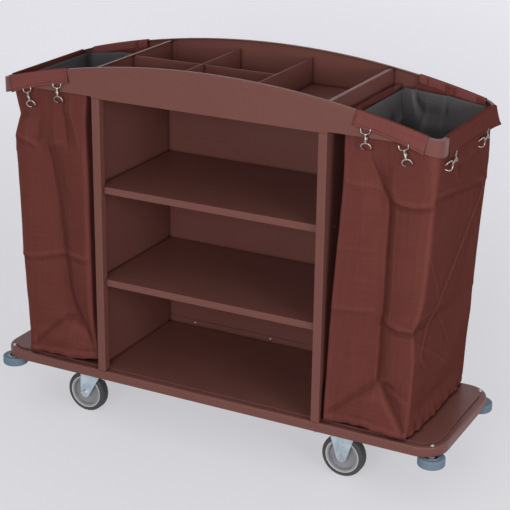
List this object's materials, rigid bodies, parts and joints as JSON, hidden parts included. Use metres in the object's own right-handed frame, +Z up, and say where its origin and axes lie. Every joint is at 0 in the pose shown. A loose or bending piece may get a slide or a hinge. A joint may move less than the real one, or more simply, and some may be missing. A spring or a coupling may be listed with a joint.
{
  "type": "housekeeping cart",
  "caption": "Steel housekeeping cart: open shelved cabinet with divided top tray on a long base, fabric bag hung at each end, casters and corner bumper wheels.",
  "frame": {"origin": "on the floor under the middle of the cart", "axes": "+X along the cart to the fixed-caster end, +Y to the rear, +Z up"},
  "size_m": [1.4252, 0.4536, 1.1093],
  "materials": {
    "brown_steel": "brown satin powder coat",
    "bag_cloth": "maroon coated oxford cloth, grey lining",
    "nickel": "nickel plate",
    "fastener_zinc": "zinc plate",
    "caster_zinc": "blue zinc plate",
    "wheel_hub": "light grey moulded",
    "wheel_tyre": "dark grey non-marking",
    "bumper_hub": "pale grey moulded",
    "bumper_rubber": "blue-grey rubber"
  },
  "bodies": {
    "cart": {"base_pan": "brown_steel", "left_caster_channel": "brown_steel", "right_caster_channel": "brown_steel", "left_wall": "brown_steel", "right_wall": "brown_steel", "back_panel": "brown_steel", "foot_strip": "brown_steel", "lower_shelf": "brown_steel", "upper_shelf": "brown_steel", "tray_floor": "brown_steel", "front_arch_panel": "brown_steel", "rear_arch_panel": "brown_steel", "left_cross_divider": "brown_steel", "right_cross_divider": "brown_steel", "long_divider": "brown_steel", "left_end_band": "brown_steel", "right_end_band": "brown_steel", "left_bag_rail": "brown_steel", "right_bag_rail": "brown_steel", "left_bag": "bag_cloth", "right_bag": "bag_cloth", "left_snap_hooks": "nickel", "right_snap_hooks": "nickel", "wall_bolts": "fastener_zinc", "shelf_screws": "fastener_zinc", "strip_screws": "fastener_zinc", "caster_bolts": "fastener_zinc", "kingpins": "fastener_zinc", "fixed_axles": "fastener_zinc", "bumper_bolts": "fastener_zinc", "bumper_spacers": "fastener_zinc", "front_swivel_plate": "caster_zinc", "rear_swivel_plate": "caster_zinc", "front_fixed_bracket": "caster_zinc", "rear_fixed_bracket": "caster_zinc"},
    "front_caster_fork": {"front_fork": "caster_zinc", "front_swivel_axle": "fastener_zinc"},
    "rear_caster_fork": {"rear_fork": "caster_zinc", "rear_swivel_axle": "fastener_zinc"},
    "front_left_wheel": {"front_left_hub": "wheel_hub", "front_left_bush": "fastener_zinc", "front_left_tyre": "wheel_tyre"},
    "front_left_bumper": {"front_left_bumper_hub": "bumper_hub", "front_left_bumper_tyre": "bumper_rubber"},
    "rear_left_wheel": {"rear_left_hub": "wheel_hub", "rear_left_bush": "fastener_zinc", "rear_left_tyre": "wheel_tyre"},
    "rear_left_bumper": {"rear_left_bumper_hub": "bumper_hub", "rear_left_bumper_tyre": "bumper_rubber"},
    "front_right_wheel": {"front_right_hub": "wheel_hub", "front_right_bush": "fastener_zinc", "front_right_tyre": "wheel_tyre"},
    "front_right_bumper": {"front_right_bumper_hub": "bumper_hub", "front_right_bumper_tyre": "bumper_rubber"},
    "rear_right_wheel": {"rear_right_hub": "wheel_hub", "rear_right_bush": "fastener_zinc", "rear_right_tyre": "wheel_tyre"},
    "rear_right_bumper": {"rear_right_bumper_hub": "bumper_hub", "rear_right_bumper_tyre": "bumper_rubber"}
  },
  "joints": [
    {"name": "front_caster_swivel", "type": "hinge", "parent": "cart", "child": "front_caster_fork", "pos_m": [-0.402, -0.14, 0.12], "axis": [0, 0, 1], "continuous": true},
    {"name": "rear_caster_swivel", "type": "hinge", "parent": "cart", "child": "rear_caster_fork", "pos_m": [-0.402, 0.14, 0.12], "axis": [0, 0, 1], "continuous": true},
    {"name": "front_left_wheel_spin", "type": "hinge", "parent": "front_caster_fork", "child": "front_left_wheel", "pos_m": [-0.445, -0.14, 0.0625], "axis": [0, 1, 0], "continuous": true},
    {"name": "front_right_wheel_spin", "type": "hinge", "parent": "cart", "child": "front_right_wheel", "pos_m": [0.402, -0.14, 0.0625], "axis": [0, 1, 0], "continuous": true},
    {"name": "rear_left_wheel_spin", "type": "hinge", "parent": "rear_caster_fork", "child": "rear_left_wheel", "pos_m": [-0.445, 0.14, 0.0625], "axis": [0, 1, 0], "continuous": true},
    {"name": "rear_right_wheel_spin", "type": "hinge", "parent": "cart", "child": "rear_right_wheel", "pos_m": [0.402, 0.14, 0.0625], "axis": [0, 1, 0], "continuous": true},
    {"name": "front_left_bumper_spin", "type": "hinge", "parent": "cart", "child": "front_left_bumper", "pos_m": [-0.67507, -0.18907, 0.136], "axis": [0, 0, 1], "continuous": true},
    {"name": "front_right_bumper_spin", "type": "hinge", "parent": "cart", "child": "front_right_bumper", "pos_m": [0.67507, -0.18907, 0.136], "axis": [0, 0, 1], "continuous": true},
    {"name": "rear_left_bumper_spin", "type": "hinge", "parent": "cart", "child": "rear_left_bumper", "pos_m": [-0.67507, 0.18907, 0.136], "axis": [0, 0, 1], "continuous": true},
    {"name": "rear_right_bumper_spin", "type": "hinge", "parent": "cart", "child": "rear_right_bumper", "pos_m": [0.67507, 0.18907, 0.136], "axis": [0, 0, 1], "continuous": true}
  ]
}
